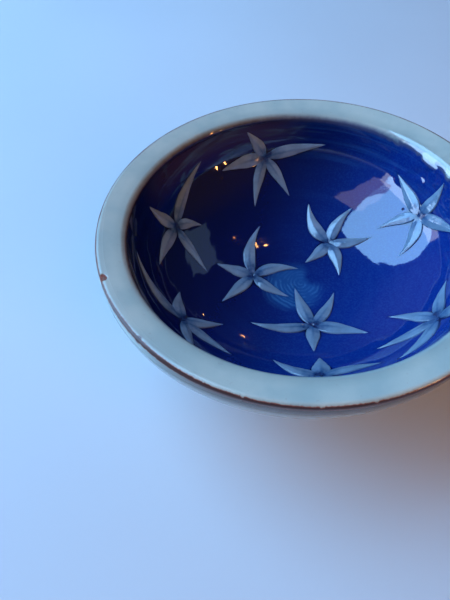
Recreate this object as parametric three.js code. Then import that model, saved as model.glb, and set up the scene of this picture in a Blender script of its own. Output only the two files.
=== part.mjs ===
// A small thick-rimmed ceramic bowl on a foot ring, with raised five-petal stars in its well.
// Millimetres, +Z up. The origin is on the table, at the middle of the foot ring.
import * as THREE from 'three';

// Rim
const RIM_DIAMETER = 120; // over the outer arris
const RIM_WIDTH = 8.8; // from the outer arris to the wall of the well
const RIM_SLOPE = 12; // degrees that the rim's flat dips towards the well
const CLAY_ARRIS = 0.4; // radius of the outer arris in the clay, before glazing
const CLAY_EDGE = 1.4; // radius in the clay where the rim turns down into the well

// Body
const WELL_DEPTH = 34.2; // from the top of the rim to the floor of the well
const WELL_FULLNESS = 2.3; // shape of the well: 2 is an ellipse, more is squarer
const FLOOR = 6.6; // thickness under the middle of the well
const WALL = 6.4; // thickness half way round from the floor to the mouth

// Foot ring
const FOOT_DIAMETER = 52;
const FOOT_HEIGHT = 6.2;
const FOOT_WALL = 5;
const FOOT_EDGE = 0.8; // bevel on both edges that meet the table
const FOOT_ROOT = 1.5; // height from the top of the ring to where the wall curves away

// Glaze
const COAT = 0.5; // thickness of every coat
const GAP = 0.3; // clearance between neighbouring pieces
const BARE_BAND = 2.5; // height of unglazed clay above the foot ring's root
const IRON_WIDTH = 0.95; // width of the iron line, round the outer arris
const IRON_TILT = 50; // degrees above level that the middle of the line faces

// Stars
const STAR_RISE = 1.1; // height of a petal's ridge above the well
const STAR_EDGE = 0.45; // height of its outline
const HUB_WIDTH = 2.6; // width of a petal where it leaves the hub
const RIDGE_START = 0.18; // share of a petal's length where its ridge begins
const PETAL_SHAPE = [ // share of the length, share of the width
  [0.4, 1],
  [0.66, 0.84],
  [0.86, 0.46],
];

// The stars fit the well, so their table is in hundredths of its radius. A star has a bearing round
// the bowl in degrees and a distance out from the axis. Each of its five petals has a direction in
// degrees anticlockwise from straight up the wall, a length, a width, and the distance that its
// middle bows to the anticlockwise side.
const STARS = [
  { bearing: 109, out: 94, petals: [
    [32, 24, 9, -1], [98, 35, 10, -1], [159, 36, 8, -1], [206, 33, 8, 1], [275, 45, 9, 1]
  ] },
  { bearing: 166, out: 86, petals: [
    [19, 26, 9, 0], [96, 36, 9, -1], [153, 38, 7, 1], [226, 21, 8, 2], [288, 51, 8, 2]
  ] },
  { bearing: 219, out: 81, petals: [
    [70, 31, 7, 0], [113, 37, 7, 0], [162, 27, 8, -1], [248, 25, 9, 2], [294, 49, 7, 2]
  ] },
  { bearing: 286, out: 78, petals: [
    [20, 29, 9, 0], [87, 34, 7, 2], [170, 18, 11, 0], [233, 31, 8, 3], [310, 31, 9, 0]
  ] },
  { bearing: 337, out: 90, petals: [
    [25, 27, 9, 0], [95, 29, 8, 2], [180, 30, 8, -2], [228, 38, 7, 0], [257, 37, 8, 3]
  ] },
  { bearing: 31, out: 90, petals: [
    [73, 33, 9, 0], [154, 28, 8, -2], [211, 30, 9, 3], [290, 35, 9, 0], [358, 26, 9, -1]
  ] },
  { bearing: 173, out: 28, petals: [
    [0, 27, 9, 0], [65, 33, 9, 0], [160, 30, 8, -2], [207, 33, 9, 4], [278, 44, 9, 5]
  ] },
  { bearing: 60, out: 44, petals: [
    [1, 32, 9, 3], [57, 36, 10, 4], [169, 24, 9, 1], [227, 29, 9, 2], [308, 30, 8, -2]
  ] },
  { bearing: 295, out: 36, petals: [
    [55, 35, 10, 1], [132, 32, 8, -2], [179, 34, 9, 1], [251, 40, 8, 3], [340, 23, 9, 0]
  ] },
];

// Mesh fineness
const AROUND = 56;
const WELL_STEPS = 13;
const WALL_STEPS = 11;
const ARC_STEPS = 3;

const RIM_RADIUS = RIM_DIAMETER / 2;
const WELL_RADIUS = RIM_RADIUS - RIM_WIDTH;
const FOOT_RADIUS = FOOT_DIAMETER / 2;
const WELL_FLOOR = FOOT_HEIGHT + FLOOR;
const HEIGHT = WELL_FLOOR + WELL_DEPTH;
const INSET = COAT + GAP; // from the glazed surface to the clay under it

const radians = THREE.MathUtils.degToRad;

// The rim's section: two rounded corners joined by the sloping flat.
const flatTurn = radians(90 + RIM_SLOPE);
const arris = { round: CLAY_ARRIS + INSET };
const edge = { round: CLAY_EDGE + INSET };
arris.r = RIM_RADIUS - arris.round;
arris.z = HEIGHT - arris.round;
edge.r = WELL_RADIUS + edge.round;
const flatRun = arris.r - edge.r + (arris.round - edge.round) * Math.cos(flatTurn);
const flatFall = flatRun * Math.tan(radians(RIM_SLOPE));
edge.z = arris.z + (arris.round - edge.round) * Math.sin(flatTurn) - flatFall;

const well = { radius: WELL_RADIUS, mouth: edge.z, depth: edge.z - WELL_FLOOR, fullness: WELL_FULLNESS };
const wall = outsideCurve();

// A point of a bowl curve. A turn of 0 is its bottom on the axis and 90 degrees its vertical mouth. A
// shift moves the point away from the hollow, square to the curve.
function bowlPoint(curve, turn, shift) {
  const power = 2 / curve.fullness;
  const across = Math.sin(turn);
  const down = Math.max(Math.cos(turn), 0);
  const steep = across ** (2 - power) / curve.radius;
  const flat = down ** (2 - power) / curve.depth;
  const point = new THREE.Vector2(curve.radius * across ** power, curve.mouth - curve.depth * down ** power);
  return point.addScaledVector(new THREE.Vector2(steep, -flat).normalize(), shift);
}

// The outside passes the arris, the foot's root and a point one wall away from the well between them.
function outsideCurve() {
  const root = arris.z - FOOT_HEIGHT - FOOT_ROOT;
  const between = bowlPoint(well, Math.PI / 4, WALL);
  const curve = { radius: RIM_RADIUS, mouth: arris.z };
  let low = 1;
  let high = 8;
  for (let i = 0; i < 40; i++) {
    curve.fullness = (low + high) / 2;
    curve.depth = root / (1 - (FOOT_RADIUS / RIM_RADIUS) ** curve.fullness) ** (1 / curve.fullness);
    const across = (between.x / curve.radius) ** curve.fullness;
    const down = ((curve.mouth - between.y) / curve.depth) ** curve.fullness;
    if (across + down > 1) low = curve.fullness;
    else high = curve.fullness;
  }
  return curve;
}

function turnAtRadius(curve, r) {
  return Math.asin((r / curve.radius) ** (curve.fullness / 2));
}

function turnAtHeight(curve, z) {
  return Math.acos(((curve.mouth - z) / curve.depth) ** (curve.fullness / 2));
}

function bowlRun(curve, from, to, steps, shift) {
  const turns = Array.from({ length: steps + 1 }, (_, i) => from + ((to - from) * i) / steps);
  return turns.map((turn) => bowlPoint(curve, turn, shift));
}

function cornerRun(corner, from, to, steps, inset) {
  const round = corner.round - inset;
  return Array.from({ length: steps + 1 }, (_, i) => {
    const turn = from + ((to - from) * i) / steps;
    return new THREE.Vector2(corner.r + round * Math.cos(turn), corner.z + round * Math.sin(turn));
  });
}

// The glazed surface in four stretches, from the middle of the well over the rim and down the
// outside. Each can also be taken at a depth under itself.
const mouthTurn = Math.PI / 2;
const rootTurn = turnAtRadius(wall, FOOT_RADIUS);
const bareTurn = turnAtHeight(wall, FOOT_HEIGHT + FOOT_ROOT + BARE_BAND);
const ironTop = radians(IRON_TILT) + IRON_WIDTH / 2 / arris.round;
const ironFoot = radians(IRON_TILT) - IRON_WIDTH / 2 / arris.round;
const ironGap = GAP / arris.round;

function wellSurface(inset) {
  return bowlRun(well, 0, mouthTurn, WELL_STEPS, inset);
}

function rimSurface(inset) {
  return [
    ...cornerRun(edge, Math.PI - GAP / edge.round, flatTurn, ARC_STEPS, inset),
    ...cornerRun(arris, flatTurn, ironTop + ironGap, 1, inset),
  ];
}

function ironSurface(inset) {
  return cornerRun(arris, ironTop, ironFoot, ARC_STEPS, inset);
}

function wallSurface(inset) {
  const [top] = cornerRun(arris, ironFoot - ironGap, 0, 1, inset);
  return [top, ...bowlRun(wall, mouthTurn, bareTurn, WALL_STEPS, -inset)];
}

// Turns a closed section, whose points run out of the well and down the outside, about +Z.
function turned(section) {
  return new THREE.LatheGeometry([...section].reverse(), AROUND).rotateX(Math.PI / 2);
}

function coat(surface) {
  const section = [...surface(0), ...surface(COAT).reverse()];
  return turned([...section, section[0]]);
}

function clayBody() {
  const underside = FOOT_HEIGHT + GAP;
  const outside = bowlRun(wall, mouthTurn, rootTurn, WALL_STEPS, -INSET);
  return turned([
    ...bowlRun(well, 0, mouthTurn, WELL_STEPS, INSET),
    ...cornerRun(edge, Math.PI, flatTurn, ARC_STEPS, INSET).slice(1),
    ...cornerRun(arris, flatTurn, 0, ARC_STEPS, INSET),
    ...outside.slice(1),
    new THREE.Vector2(outside.at(-1).x, underside),
    new THREE.Vector2(0, underside),
  ]);
}

function footRing() {
  const inner = FOOT_RADIUS - FOOT_WALL;
  const section = [
    [inner, FOOT_HEIGHT],
    [FOOT_RADIUS, FOOT_HEIGHT],
    [FOOT_RADIUS, FOOT_EDGE],
    [FOOT_RADIUS - FOOT_EDGE, 0],
    [inner + FOOT_EDGE, 0],
    [inner, FOOT_EDGE],
    [inner, FOOT_HEIGHT],
  ];
  return turned(section.map(([r, z]) => new THREE.Vector2(r, z)));
}

// Below zero in the hollow of the well and above zero in its wall.
function wellLevel(point) {
  const across = Math.hypot(point.x, point.y) / well.radius;
  const down = Math.max(well.mouth - point.z, 0) / well.depth;
  return across ** well.fullness + down ** well.fullness - 1;
}

// The direction into the hollow, square to the surface of the well.
function wellNormal(point) {
  const r = Math.hypot(point.x, point.y);
  const across = (r / well.radius) ** (well.fullness - 1) / well.radius;
  const down = (Math.max(well.mouth - point.z, 0) / well.depth) ** (well.fullness - 1) / well.depth;
  const spoke = r > 0 ? across / r : 0;
  return new THREE.Vector3(-point.x * spoke, -point.y * spoke, down).normalize();
}

// The facets of the turned glaze stand up to this far into the hollow of the well.
const facetStand = WELL_RADIUS * (2 - Math.cos(Math.PI / AROUND) - Math.cos(Math.PI / 4 / WELL_STEPS));

// A star's own frame on the well. Its place(uphill, around, lift) takes an offset from the hub in the
// plane that touches the well there, drops it square onto the well and lifts it off the surface.
function starFrame({ bearing, out }) {
  const turn = radians(bearing);
  const hub = bowlPoint(well, turnAtRadius(well, (WELL_RADIUS * out) / 100), 0);
  const centre = new THREE.Vector3(hub.x * Math.cos(turn), hub.x * Math.sin(turn), hub.y);
  const normal = wellNormal(centre);
  const aroundway = new THREE.Vector3(-Math.sin(turn), Math.cos(turn), 0);
  const upway = new THREE.Vector3().crossVectors(aroundway, normal);
  return function place(uphill, around, lift) {
    const start = centre.clone().addScaledVector(upway, uphill).addScaledVector(aroundway, around);
    let solid = -WELL_RADIUS / 2;
    let hollow = WELL_RADIUS / 2;
    for (let i = 0; i < 40; i++) {
      const middle = (solid + hollow) / 2;
      if (wellLevel(start.clone().addScaledVector(normal, middle)) > 0) solid = middle;
      else hollow = middle;
    }
    const seat = start.addScaledVector(normal, hollow);
    return seat.clone().addScaledVector(wellNormal(seat), GAP + facetStand + lift);
  };
}

// One star: five petals that meet at the hub, each with a ridge and two falling sides.
function starRelief(star) {
  const place = starFrame(star);
  const under = [];
  const over = [];
  function add(uphill, around, height) {
    under.push(place(uphill, around, 0));
    over.push(place(uphill, around, height));
    return under.length - 1;
  }

  const { petals } = star;
  const turns = petals.map(([direction]) => radians(direction));
  const hub = add(0, 0, STAR_EDGE);
  // Neighbouring petals part where their sides, half a hub width from each middle, cross.
  const notches = turns.map((turn, i) => {
    const before = turns.at(i - 1) - (i === 0 ? 2 * Math.PI : 0);
    const half = (turn - before) / 2;
    const reach = HUB_WIDTH / 2 / Math.sin(half);
    return add(reach * Math.cos(turn - half), reach * Math.sin(turn - half), STAR_EDGE);
  });

  const faces = []; // of the upper side, anticlockwise
  const outline = [];
  petals.forEach(([, length, width, bow], i) => {
    const long = (WELL_RADIUS * length) / 100;
    function point(share, side, height) {
      const along = share * long;
      const aside = (WELL_RADIUS * (side + 4 * bow * share * (1 - share))) / 100;
      const uphill = along * Math.cos(turns[i]) - aside * Math.sin(turns[i]);
      const around = along * Math.sin(turns[i]) + aside * Math.cos(turns[i]);
      return add(uphill, around, height);
    }
    const tip = point(1, 0, STAR_EDGE);
    const ridge = [point(RIDGE_START, 0, STAR_RISE)];
    const right = [notches[i]];
    const left = [notches[(i + 1) % petals.length]];
    for (const [share, fullness] of PETAL_SHAPE) {
      const half = (width * fullness) / 2;
      ridge.push(point(share, 0, STAR_EDGE + (STAR_RISE - STAR_EDGE) * fullness));
      right.push(point(share, -half, STAR_EDGE));
      left.push(point(share, half, STAR_EDGE));
    }
    faces.push([hub, right[0], ridge[0]], [hub, ridge[0], left[0]]);
    for (let k = 0; k < PETAL_SHAPE.length; k++) {
      faces.push([right[k], right[k + 1], ridge[k + 1]], [right[k], ridge[k + 1], ridge[k]]);
      faces.push([ridge[k], ridge[k + 1], left[k + 1]], [ridge[k], left[k + 1], left[k]]);
    }
    faces.push([right.at(-1), tip, ridge.at(-1)], [ridge.at(-1), tip, left.at(-1)]);
    outline.push(...right, tip, ...left.slice(1).reverse());
  });

  const upper = (i) => i + under.length;
  const index = [];
  for (const [a, b, c] of faces) index.push(upper(a), upper(b), upper(c), a, c, b);
  outline.forEach((a, i) => {
    const b = outline[(i + 1) % outline.length];
    index.push(a, b, upper(b), a, upper(b), upper(a));
  });
  return new THREE.BufferGeometry().setFromPoints([...under, ...over]).setIndex(index);
}

const finishes = {
  clay: { color: 0x8a6a52, roughness: 0.85, metalness: 0 },
  celadon: { color: 0x9fb9c4, roughness: 0.2, metalness: 0 },
  iron: { color: 0x4a2a22, roughness: 0.45, metalness: 0 },
  cobalt: { color: 0x0b1f6b, roughness: 0.12, metalness: 0 },
  slip: { color: 0x8ba3ad, roughness: 0.2, metalness: 0 },
};

const bowl = new THREE.Group();

function addPiece(name, geometry, finish) {
  const piece = new THREE.Mesh(geometry, new THREE.MeshStandardMaterial(finishes[finish]));
  piece.name = name;
  bowl.add(piece);
}

addPiece('clay_body', clayBody(), 'clay');
addPiece('foot_ring', footRing(), 'clay');
addPiece('wall_glaze', coat(wallSurface), 'celadon');
addPiece('rim_glaze', coat(rimSurface), 'celadon');
addPiece('rim_line', coat(ironSurface), 'iron');
addPiece('well_glaze', coat(wellSurface), 'cobalt');
STARS.forEach((star, i) => addPiece(`star_${i + 1}`, starRelief(star), 'slip'));

export default bowl;
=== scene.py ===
# The looks of a small hand-made bowl: clay, pale rim, cobalt well, iron line and raised stars.
import math

import bpy
import numpy as np
from bpy.props import FloatProperty, FloatVectorProperty, IntProperty, PointerProperty
from mathutils import Matrix, Quaternion, Vector, kdtree


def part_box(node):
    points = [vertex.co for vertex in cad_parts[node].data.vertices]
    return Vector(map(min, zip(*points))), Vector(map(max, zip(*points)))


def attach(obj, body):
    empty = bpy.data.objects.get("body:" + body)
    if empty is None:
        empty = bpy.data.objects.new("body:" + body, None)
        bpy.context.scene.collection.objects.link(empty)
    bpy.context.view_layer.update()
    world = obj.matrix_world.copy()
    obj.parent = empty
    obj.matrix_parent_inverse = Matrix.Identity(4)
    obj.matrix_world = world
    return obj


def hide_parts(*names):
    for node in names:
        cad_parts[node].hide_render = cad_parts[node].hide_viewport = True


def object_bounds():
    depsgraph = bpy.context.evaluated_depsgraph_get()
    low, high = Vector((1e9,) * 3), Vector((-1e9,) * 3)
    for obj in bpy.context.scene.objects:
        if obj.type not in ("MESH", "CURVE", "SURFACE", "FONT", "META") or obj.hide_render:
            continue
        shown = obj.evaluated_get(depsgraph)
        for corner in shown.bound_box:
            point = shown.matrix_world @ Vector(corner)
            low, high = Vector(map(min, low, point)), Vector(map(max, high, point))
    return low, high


bl_info = {
    "name": "Star Bowl",
    "version": (1, 0, 0),
    "blender": (4, 5, 0),
    "location": "3D View > Sidebar > Star Bowl",
    "description": "Makes a thick-rimmed ceramic bowl with raised stars in its cobalt well",
    "category": "Object",
}

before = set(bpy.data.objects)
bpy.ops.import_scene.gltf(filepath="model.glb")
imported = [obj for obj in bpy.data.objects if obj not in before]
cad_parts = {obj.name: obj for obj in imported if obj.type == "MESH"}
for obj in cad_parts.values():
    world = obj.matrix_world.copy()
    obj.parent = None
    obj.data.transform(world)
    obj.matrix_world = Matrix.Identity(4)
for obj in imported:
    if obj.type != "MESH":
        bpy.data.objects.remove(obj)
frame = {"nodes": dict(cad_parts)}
cad_bounds = [list(corner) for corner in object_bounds()]

MM = 0.001
BODY = "root"
QUARTER = math.pi / 2

# Every bearing round the bowl is in degrees, anticlockwise from the right

# Bearing of each star's hub, and its distance out from the axis in hundredths of the well's radius
STAR_HUBS = {
    "star_1": (109, 94),
    "star_2": (166, 86),
    "star_3": (219, 81),
    "star_4": (286, 78),
    "star_5": (337, 90),
    "star_6": (31, 90),
    "star_7": (173, 28),
    "star_8": (60, 44),
    "star_9": (295, 36),
}

# Petals of each star: a direction in degrees anticlockwise from straight up the wall, then a length,
# a width and a bow to the anticlockwise side, in hundredths of the well's radius
STAR_PETALS = {
    "star_1": [(32, 24, 9, -1), (98, 35, 10, -1), (159, 36, 8, -1), (206, 33, 8, 1), (275, 45, 9, 1)],
    "star_2": [(19, 26, 9, 0), (96, 36, 9, -1), (153, 38, 7, 1), (226, 21, 8, 2), (288, 51, 8, 2)],
    "star_3": [(70, 31, 7, 0), (113, 37, 7, 0), (162, 27, 8, -1), (248, 25, 9, 2), (294, 49, 7, 2)],
    "star_4": [(20, 29, 9, 0), (87, 34, 7, 2), (170, 18, 11, 0), (233, 31, 8, 3), (310, 31, 9, 0)],
    "star_5": [(25, 27, 9, 0), (95, 29, 8, 2), (180, 30, 8, -2), (228, 38, 7, 0), (257, 37, 8, 3)],
    "star_6": [(73, 33, 9, 0), (154, 28, 8, -2), (211, 30, 9, 3), (290, 35, 9, 0), (358, 26, 9, -1)],
    "star_7": [(0, 27, 9, 0), (65, 33, 9, 0), (160, 30, 8, -2), (207, 33, 9, 4), (278, 44, 9, 5)],
    "star_8": [(1, 32, 9, 3), (57, 36, 10, 4), (169, 24, 9, 1), (227, 29, 9, 2), (308, 30, 8, -2)],
    "star_9": [(55, 35, 10, 1), (132, 32, 8, -2), (179, 34, 9, 1), (251, 40, 8, 3), (340, 23, 9, 0)],
}

# Share of a petal's length and of its width, from the hub to the tip
PETAL_OUTLINE = [
    (0, 0), (0.03, 0.36), (0.1, 0.6), (0.24, 0.96), (0.34, 1), (0.6, 0.7), (0.8, 0.36), (0.94, 0.12), (1, 0)
]
# Each petal starts this far past the hub, so that the five of them overlap there
HUB_OVERLAP = 0.06 * MM
# A petal's points are dropped onto the well from this height, along rays of this length
DROP_HEIGHT = 20 * MM
DROP_LENGTH = 60 * MM
# Points closer together than this become one, which closes a petal's ends and its seam
WELD_DISTANCE = 0.002 * MM

# Bearings, and how many degrees above level the brushed iron line faces there
IRON_WANDER = [
    (0, 48), (60, 58), (120, 58), (180, 52), (228, 50), (240, 36),
    (252, 18), (266, 8), (310, 8), (340, 30), (360, 48),
]
IRON_TILT = math.radians(50)

# Bearings of marks in the line and the glaze, and how many degrees each reaches to both sides
LINE_BREAKS = [(279, 0.7), (290.5, 0.6), (262, 0.5)]
LINE_BLOB = (233.5, 1.0)
LINE_WIDE = (285, 62)
LINE_THIN = (192, 34)
DRY_GLAZE = (222, 55)
GLAZE_RUNS = (36, 30)
GLAZE_LUMPS = (36, 20)
SWELLING = (236, 34)

# Bearings of the painted shade on the inner edge, of the painted shade and warm reflection in the well, of
# the painted shade below the iron line, and where the edge's painted dark band is left out
SHADED_EDGE_SIDE = 158
WARM_REFLECTION_SIDE = 131
SHADED_WALL_SIDE = 288
UNSHADED_EDGE_SIDE = 38

# The chip in the rim, and the smallest turn between two points round the bowl, in radians
CHIP_TURN = math.radians(211.4)
CHIP_SPREAD = math.radians(2.6)
SMALLEST_TURN = 0.0003

# Middles of the one pinhole and of the brushed swirl, in millimetres
PINHOLE = (35.1, 28.0, 26.4)
SWIRL = (3.0, 1.0)

# Waves round the bowl, each with a count, a height as a share and a start in radians
WOBBLE_WAVES = [(2, 1, 0.7), (3, 0.5, 2.1)]
RING_WAVES = [(1, 0.8, 1), (2, 0.3, 0)]
GLAZE_END_WAVES = [(3, 0.5, 0.4), (7, 0.3, 2), (16, 0.15, 0)]
# The same for the chip's ragged edge, where the second one's count is per metre down the arris
CHIP_WAVES_ROUND = [(140, 0.09, 0.6)]
CHIP_WAVES_DOWN = [(3600, 0.06, 2)]

# Millimetres from the nearest star that a coat outside the well is marked with
FAR_FROM_STARS = 99.0

# Rows of points along each stretch of the glazed surface
STRETCH_ROWS = {
    "well": 128,
    "edge": 20,
    "flat": 36,
    "arris_top": 10,
    "iron": 12,
    "arris_foot": 12,
    "wall": 96,
}

# The lamps face this point from one distance. A direction is a bearing and a height in degrees.
LAMP_AIM = Vector((0.035, 0.015, 0.025))
LAMP_DISTANCE = 0.9
WINDOW = (168, 44)
WINDOW_ROLL = math.radians(-51)
TALL_BULBS = {"tall_bulb": (-33, 13), "second_tall_bulb": (-26, 14)}
# Direction of each small bulb, and its width in metres
SMALL_BULBS = [
    ((76, 64), 0.004),
    ((80, 65), 0.005),
    ((70, 64), 0.003),
    ((60, 63), 0.003),
    ((86, 27), 0.007),
    ((76, 24), 0.006),
    ((-25, 31), 0.006),
    ((-52, 33), 0.005),
    ((-60, 27), 0.005),
]
BULB_STRENGTH = 520

# Unit vectors to the warm side and to the hazy side of the room
WARM_SIDE = (0.875, -0.408, 0.259)
HAZY_SIDE = (-0.57, 0.73, 0.37)


def length(name, description, default):
    return FloatProperty(
        name=name, description=description, default=default, min=0, unit="LENGTH", precision=5
    )


def colour(name, description, default):
    return FloatVectorProperty(
        name=name, description=description, default=default, min=0, max=1, subtype="COLOR"
    )


class StarBowlSizes(bpy.types.PropertyGroup):
    """Sizes of the bowl that its frame doesn't give"""

    coat: length("Coat", "Thickness of every glaze coat", 0.5 * MM)
    fullness: FloatProperty(name="Fullness", description="Shape of the well: 2 is an ellipse", default=2.3)
    rim_slope: FloatProperty(
        name="Rim slope",
        description="Dip of the rim towards the well",
        default=math.radians(12),
        subtype="ANGLE",
    )
    edge_round: length("Edge round", "Radius where the rim turns down into the well", 2.2 * MM)
    arris_round: length("Arris round", "Radius of the rim's outer arris", 1.2 * MM)
    wall: length("Wall", "Thickness half way round from the floor to the mouth", 6.4 * MM)
    bare_band: length("Bare band", "Height of unglazed clay above the foot ring's root", 2.5 * MM)
    foot_root: length("Foot root", "Height from the ring to where the wall curves away", 1.5 * MM)
    foot_wall: length("Foot wall", "Thickness of the foot ring", 5 * MM)
    iron_width: length("Iron width", "Width of the iron line", 1.2 * MM)
    swelling: length("Swelling", "How far the wall swells out below the rim at one side", 0.7 * MM)
    throwing: length("Throwing rings", "Height of the ripple that throwing left", 0.012 * MM)
    throwing_pitch: length("Ring pitch", "Distance from one throwing ring to the next", 5.2 * MM)
    trimming: length("Trimming marks", "Height of the marks that trimming left in the clay", 0.02 * MM)
    trimming_pitch: length("Mark pitch", "Distance from one trimming mark to the next", 1.35 * MM)
    wobble: length("Wobble", "How far the bowl is out of round", 0.1 * MM)
    chip: length("Chip", "Radius of the chip in the rim's arris", 1.4 * MM)
    chip_depth: length("Chip depth", "Depth of the chip", 0.55 * MM)
    star_rise: length("Star rise", "Height of a petal's ridge above the well", 0.85 * MM)
    star_edge: length("Star edge", "Height of a petal's outline", 0.32 * MM)
    star_sink: length("Star sink", "Depth of a petal's underside in the glaze", 0.2 * MM)
    around: IntProperty(name="Around", description="Points round the bowl", default=520, min=48)


class StarBowlColours(bpy.types.PropertyGroup):
    """Colours of the clay, glazes, iron and slip, and of painted shade and reflection"""

    celadon: colour("Celadon", "Pale glaze of the rim and wall", (0.465, 0.525, 0.46))
    # Thick celadon is also, darkened, the painted shade towards the rim's inner edge
    celadon_thick_and_shade: colour("Thick celadon", "Pale glaze where it lies thick", (0.355, 0.445, 0.41))
    # Also painted shade: it browns the inner edge on its shaded side and, darkened, shades the outer wall
    # below the iron line, besides the iron staining beside the line
    thin_glaze_and_shade: colour("Thin glaze", "Brownish glaze where it thins on the inner edge", (0.094, 0.072, 0.064))
    thin_blue: colour("Thin blue", "Glaze of the inner edge away from its brown side", (0.07, 0.085, 0.16))
    # Painted shade: the dark band where the rim's inner edge turns down into the blue
    painted_edge_shade: colour("Dark edge", "Glaze just above the blue", (0.006, 0.005, 0.014))
    cobalt: colour("Cobalt", "Body of the blue glaze", (0.003, 0.024, 0.185))
    # Dark cobalt is also the painted shade on the well's side away from the lamp
    cobalt_dark: colour("Dark cobalt", "Blue glaze where it lies thick", (0.0015, 0.005, 0.06))
    cobalt_light: colour("Light cobalt", "Brush strokes in the blue glaze", (0.025, 0.14, 0.36))
    # Painted shade and warm reflection on the upper well wall, on one side
    painted_warm_reflection: colour("Brown cobalt", "Blue glaze where it is thin under the rim", (0.045, 0.032, 0.04))
    swirl: colour("Swirl", "Rings of the swirl at the bottom", (0.045, 0.19, 0.38))
    iron: colour("Iron", "Brown line on the rim", (0.05, 0.015, 0.012))
    rust: colour("Rust", "Thin edges of the line, and the chip", (0.26, 0.07, 0.042))
    slip: colour("Slip", "Pale slip of the stars", (0.188, 0.282, 0.38))
    clay: colour("Clay", "Unglazed stoneware of the foot", (0.16, 0.085, 0.05))
    pale_grain: colour("Pale grain", "Pale grains in the clay", (0.30, 0.19, 0.12))
    dark_grain: colour("Dark grain", "Dark grains in the clay", (0.045, 0.026, 0.02))


class StarBowlStage(bpy.types.PropertyGroup):
    """Floor, lamps, room and camera"""

    floor: colour("Floor", "Plain pale floor", (0.58, 0.63, 0.66))
    backdrop: colour("Backdrop", "Pale background, as far as it can be seen", (0.42, 0.59, 0.87))
    window: colour("Window light", "Colour of the main lamp", (0.265, 0.575, 1.0))
    frame: colour("Frame light", "Colour of the light beside the main lamp", (0.95, 0.8, 1.0))
    warm: colour("Warm light", "Colour of the fill lamp", (1.0, 0.5, 0.24))
    slate: colour("Slate light", "Colour of the dim card", (0.42, 0.68, 1.0))
    lilac: colour("Lilac light", "Colour of the card that only reflections show", (0.78, 0.82, 1.0))
    bulb: colour("Bulb light", "Colour of the small bulbs", (1.0, 0.42, 0.12))
    room: colour("Room", "What reflections show overhead", (0.018, 0.024, 0.05))
    warm_room: colour("Warm room", "What reflections show on the warm side", (0.075, 0.048, 0.05))
    hazy_room: colour("Hazy room", "What reflections show on the hazy side", (0.12, 0.13, 0.30))
    camera_place: FloatVectorProperty(
        name="Camera",
        description="Place of the camera",
        default=(0, -102.03 * MM, 143.8 * MM),
        subtype="TRANSLATION",
    )
    camera_heading: FloatVectorProperty(
        name="Heading", description="Direction that the camera looks", default=(-0.13821, 0.57121, -0.80909)
    )
    camera_up: FloatVectorProperty(
        name="Upright", description="Direction of the picture's top", default=(-0.10971, 0.80307, 0.5857)
    )
    lens: FloatProperty(name="Lens", description="Focal length on a 36 mm film", default=28.2)


def sizes():
    return bpy.context.scene.star_bowl_sizes


def colours():
    return bpy.context.scene.star_bowl_colours


def link(name, data):
    """A new object in the scene that holds the data"""
    thing = bpy.data.objects.new(name, data)
    bpy.context.scene.collection.objects.link(thing)
    return thing


# Sections

class BowlCurve:
    """A superellipse from its bottom on the axis, at turn 0, to its upright mouth, a quarter turn on"""

    def __init__(self, radius, mouth, depth, fullness):
        self.radius = radius
        self.mouth = mouth
        self.depth = depth
        self.fullness = fullness

    def points(self, turns):
        power = 2 / self.fullness
        across = np.sin(turns) ** power
        down = np.clip(np.cos(turns), 0, None) ** power
        return np.stack([self.radius * across, self.mouth - self.depth * down], -1)

    def turn_at_radius(self, r):
        return math.asin((r / self.radius) ** (self.fullness / 2))

    def turn_at_height(self, z):
        return math.acos(((self.mouth - z) / self.depth) ** (self.fullness / 2))


def corner(centre, radius, start, end, steps=40):
    turns = np.linspace(start, end, steps)
    return np.stack([centre[0] + radius * np.cos(turns), centre[1] + radius * np.sin(turns)], -1)


def distances(points):
    """How far along its line each point is"""
    return np.concatenate([[0], np.cumsum(np.linalg.norm(np.diff(points, axis=0), axis=1))])


def spaced(points, count):
    """The same line with that many points, evenly spaced"""
    along = distances(points)
    wanted = np.linspace(0, along[-1], count)
    return np.stack([np.interp(wanted, along, points[:, k]) for k in (0, 1)], -1)


def left_normals(points):
    """Unit normals of a section, to the left of its direction"""
    ahead = np.gradient(points, axis=0)
    ahead /= np.linalg.norm(ahead, axis=1)[:, None]
    return np.stack([-ahead[:, 1], ahead[:, 0]], -1)


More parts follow.
